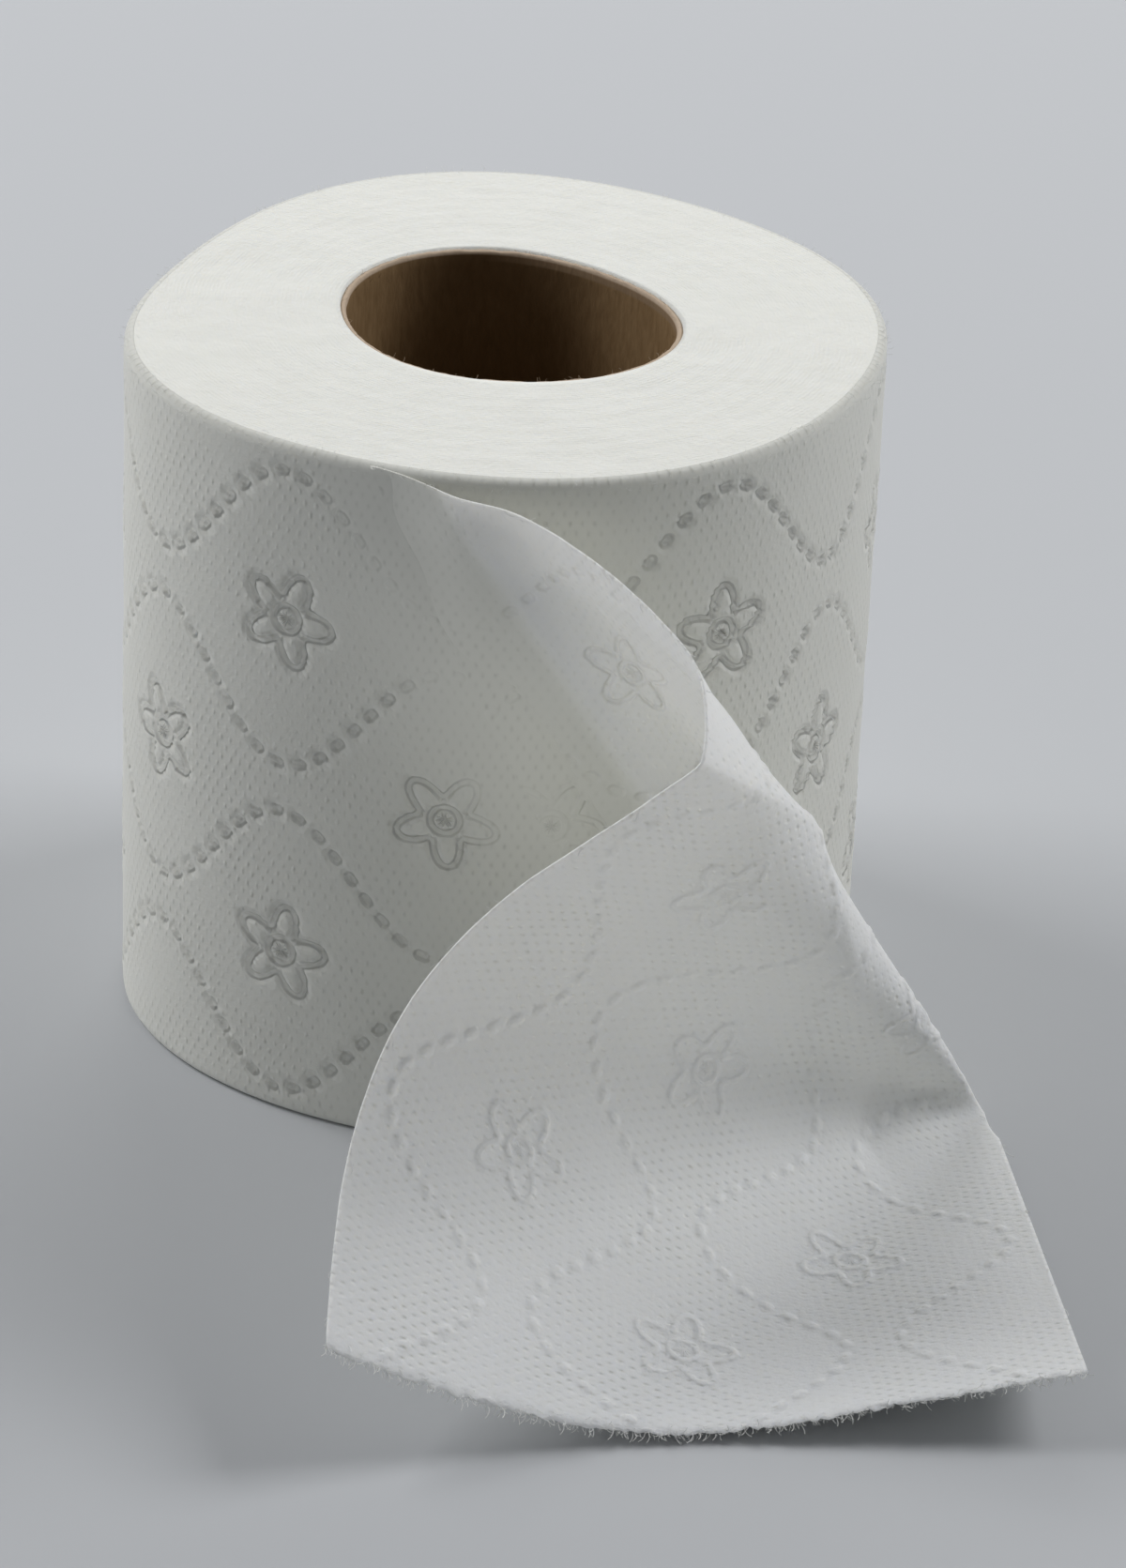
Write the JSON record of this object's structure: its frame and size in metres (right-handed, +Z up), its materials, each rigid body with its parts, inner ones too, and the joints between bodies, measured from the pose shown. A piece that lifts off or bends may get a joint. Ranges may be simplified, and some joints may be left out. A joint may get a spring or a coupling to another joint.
{
  "type": "toilet paper roll",
  "caption": "Soft embossed toilet paper roll on an oval cardboard core, standing on its end with the loose end of the web folded over towards the front.",
  "frame": {"origin": "on the roll's axis, at the lower end face that it stands on", "axes": "+Z up along the roll's axis, the loose end folded towards -Y, +X to the right seen from the front"},
  "size_m": [0.1249, 0.1797, 0.095],
  "materials": {
    "paper": "matte",
    "cardboard": "matte"
  },
  "bodies": {
    "root": {"paper_web": "paper", "cardboard_core": "cardboard"}
  },
  "joints": []
}
